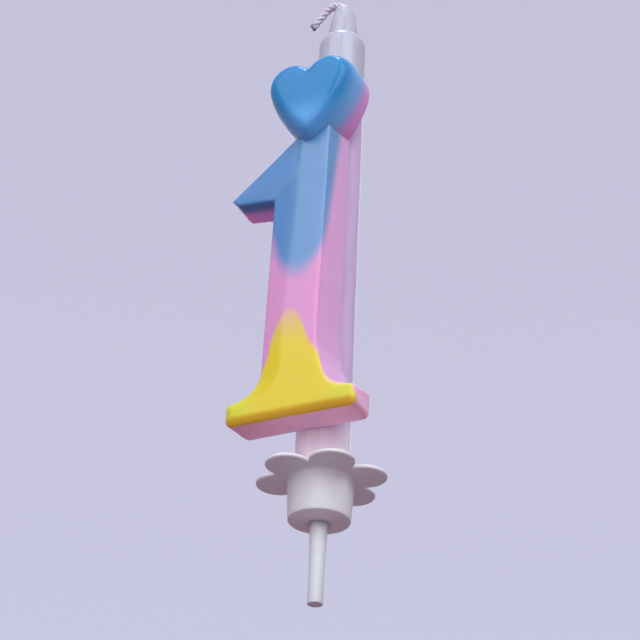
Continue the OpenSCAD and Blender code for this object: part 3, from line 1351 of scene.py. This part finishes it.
@dataclass
class Viewpoint:
    """The main camera: it looks up at the numeral's front from below and from its right."""

    azimuth: float = 26.54
    elevation: float = -32.88
    roll: float = 3.07
    distance: float = 225.8
    aim_z: float = 36.19
    aside: float = -1.452
    sensor: float = 36.0
    field: float = 25.75

    def build(self) -> bpy.types.Object:
        """Creates the camera and makes it the scene's own."""
        turn, tilt = math.radians(self.azimuth), math.radians(self.roll)
        back = bearing(self.azimuth, self.elevation)
        level = Vector((math.cos(turn), math.sin(turn), 0.0))
        upright = back.cross(level)
        right = level * math.cos(tilt) + upright * math.sin(tilt)
        up = upright * math.cos(tilt) - level * math.sin(tilt)
        place = Vector((0, 0, self.aim_z)) + right * self.aside + back * self.distance
        lens = bpy.data.cameras.new("camera")
        lens.sensor_width = self.sensor
        lens.angle = math.radians(self.field)
        lens.clip_start = 0.005
        camera = add("camera", lens)
        axes = Matrix((right, up, back)).transposed().to_4x4()
        camera.matrix_world = Matrix.Translation(place * MM) @ axes
        bpy.context.scene.camera = camera
        return camera


@dataclass(frozen=True)
class Lamp:
    """One square lamp that faces the candle; angles in degrees, lengths in metres, power in watts."""

    name: str
    azimuth: float
    elevation: float
    distance: float
    size: float
    power: float
    colour: Colour = (1.0, 0.98, 1.0)

    def hang(self, aim: Vector) -> None:
        """Hangs the lamp on its side of the place that it faces."""
        out = bearing(self.azimuth, self.elevation)
        light = bpy.data.lights.new(self.name, "AREA")
        light.shape = "SQUARE"
        light.size = self.size
        light.energy = self.power
        light.color = self.colour
        lamp = add(self.name, light)
        lamp.matrix_world = (Matrix.Translation(aim + out * self.distance)
                             @ out.to_track_quat("Z", "Y").to_matrix().to_4x4())


@dataclass(frozen=True)
class Studio:
    """A pale floor that sweeps up into a dome, a sky that is brighter above, and lamps."""

    floor_z: float = -260.0
    reach: float = 3000.0
    bend: float = 1200.0
    aim_z: float = 45.0
    segments: int = 96
    tone: Colour = (0.28, 0.30, 0.34)
    mottle: Point = (90, 0.02)
    roughness: float = 0.9
    glow: Colour = (0.465, 0.47, 0.60)
    sky_strength: float = 1.0
    # colours of the sky by the direction's height, from straight down to straight up
    sky: tuple[tuple[float, Colour], ...] = (
        (-1.0, (0.25, 0.135, 0.17)), (-0.15, (0.30, 0.22, 0.28)), (0.25, (0.40, 0.38, 0.48)),
        (1.0, (0.62, 0.62, 0.76)))
    lamps: tuple[Lamp, ...] = (
        Lamp("window", -12, 40, 0.75, 0.5, 1.35), Lamp("side", 52, 32, 0.75, 0.5, 2.5),
        Lamp("front", 18, 0, 0.75, 0.5, 1.5), Lamp("top", 0, 84, 0.75, 0.16, 0.9),
        Lamp("rear", 205, 28, 0.75, 0.5, 0.9))

    def backdrop(self) -> None:
        """Turns the floor, its sweep and the dome as one skin, which lights nothing."""
        profile: list[Point] = [(0.0, self.floor_z)]
        profile += arc((self.reach - self.bend, self.floor_z + self.bend), self.bend, -90, 0, 16)
        profile += arc((0.0, self.floor_z + self.bend), self.reach, 0, 90, 24)[1:]
        bm = bmesh.new()
        revolve(bm, profile, self.segments)
        sheet = ShaderSheet("backdrop_paper")
        inputs = sheet.shader.inputs
        sheet.paint(self.tone, self.mottle)
        sheet.feed(inputs["Emission Color"], self.glow)
        inputs["Emission Strength"].default_value = 1.0
        inputs["Roughness"].default_value = self.roughness
        mesh = bpy.data.meshes.new("backdrop")
        bm.to_mesh(mesh)
        bm.free()
        mesh.shade_smooth()
        mesh.materials.append(sheet.material)
        drop = add("backdrop", mesh)
        drop.visible_diffuse = False
        drop.visible_glossy = False
        drop.visible_shadow = False

    def heaven(self) -> None:
        """Paints the sky by the height of each direction."""
        world = bpy.data.worlds.new("sky")
        world.use_nodes = True
        tree = world.node_tree
        split = tree.nodes.new("ShaderNodeSeparateXYZ")
        tree.links.new(tree.nodes.new("ShaderNodeTexCoord").outputs["Generated"], split.inputs[0])
        level = tree.nodes.new("ShaderNodeMapRange")
        level.inputs["From Min"].default_value = -1.0
        tree.links.new(split.outputs[2], level.inputs["Value"])
        ramp = tree.nodes.new("ShaderNodeValToRGB")
        stops = ramp.color_ramp.elements
        while len(stops) < len(self.sky):
            stops.new(0.5)
        for stop, (height, colour) in zip(stops, self.sky):
            stop.position = (height + 1) / 2
            stop.color = (*colour, 1.0)
        tree.links.new(level.outputs["Result"], ramp.inputs["Fac"])
        background = tree.nodes["Background"]
        tree.links.new(ramp.outputs["Color"], background.inputs["Color"])
        background.inputs["Strength"].default_value = self.sky_strength
        bpy.context.scene.world = world

    def build(self) -> None:
        """Sets up the sky, the backdrop and the lamps."""
        bpy.context.scene.view_settings.view_transform = "Standard"
        self.heaven()
        self.backdrop()
        for lamp in self.lamps:
            lamp.hang(Vector((0, 0, self.aim_z * MM)))


def main() -> None:
    """Loads the frame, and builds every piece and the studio."""
    logging.basicConfig(level=logging.INFO, format="%(name)s: %(message)s")
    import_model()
    Viewpoint().build()
    for maker in (Pick(), FlowerHolder(), Taper(), Wick(), Numeral(), Heart(), WaxSeam()):
        maker.build()
    Studio().build()


if __name__ == "__main__":
    main()
